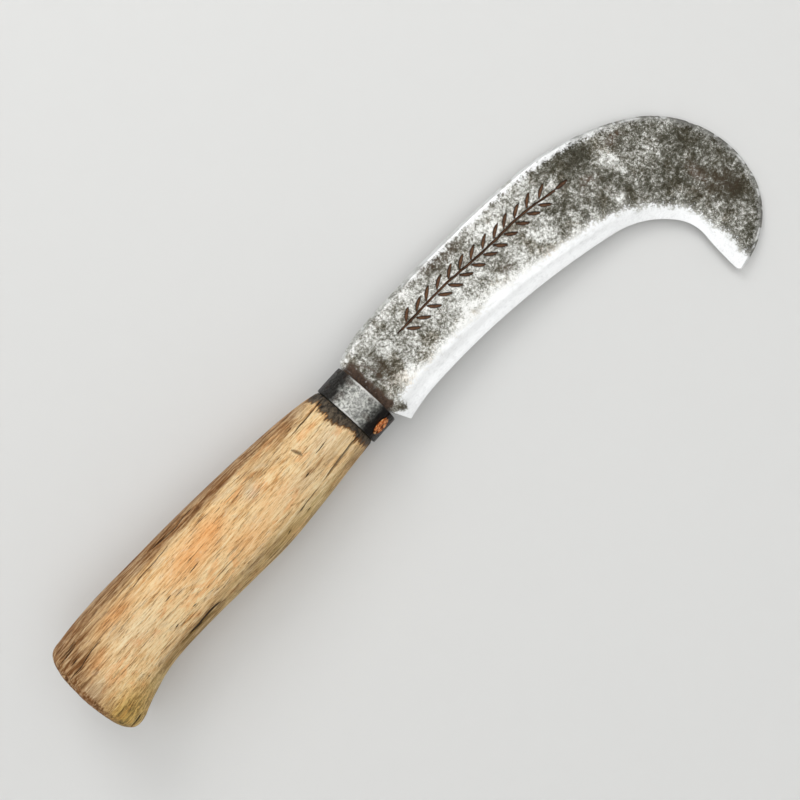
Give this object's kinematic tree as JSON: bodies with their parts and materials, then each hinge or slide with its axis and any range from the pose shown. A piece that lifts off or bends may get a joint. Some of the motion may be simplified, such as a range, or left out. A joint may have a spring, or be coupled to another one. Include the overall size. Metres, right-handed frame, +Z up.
{
  "type": "billhook",
  "caption": "Small one-handed billhook with a hooked, double-bevelled blade, a brazed iron ferrule and a flared wooden grip, lying on its side.",
  "frame": {"origin": "under the middle of the whole tool, on the surface that it lies on", "axes": "+X along the tool from the butt towards the hook, +Y from the cutting edge towards the spine, +Z up"},
  "size_m": [0.3237, 0.1008, 0.0434],
  "materials": {
    "forged_steel": "worn forged steel with dark patina, bright specks and a ground edge",
    "ferrule_iron": "worn dark wrought iron, burnished on top",
    "brazing_metal": "rough coppery brazing metal",
    "handle_wood": "weathered oiled ash, open grain, charred at the ferrule",
    "rove_iron": "dark rusted iron"
  },
  "bodies": {
    "root": {"blade": "forged_steel", "ferrule": "ferrule_iron", "ferrule_braze": "brazing_metal", "handle": "handle_wood", "tang_rove": "rove_iron"}
  },
  "joints": []
}
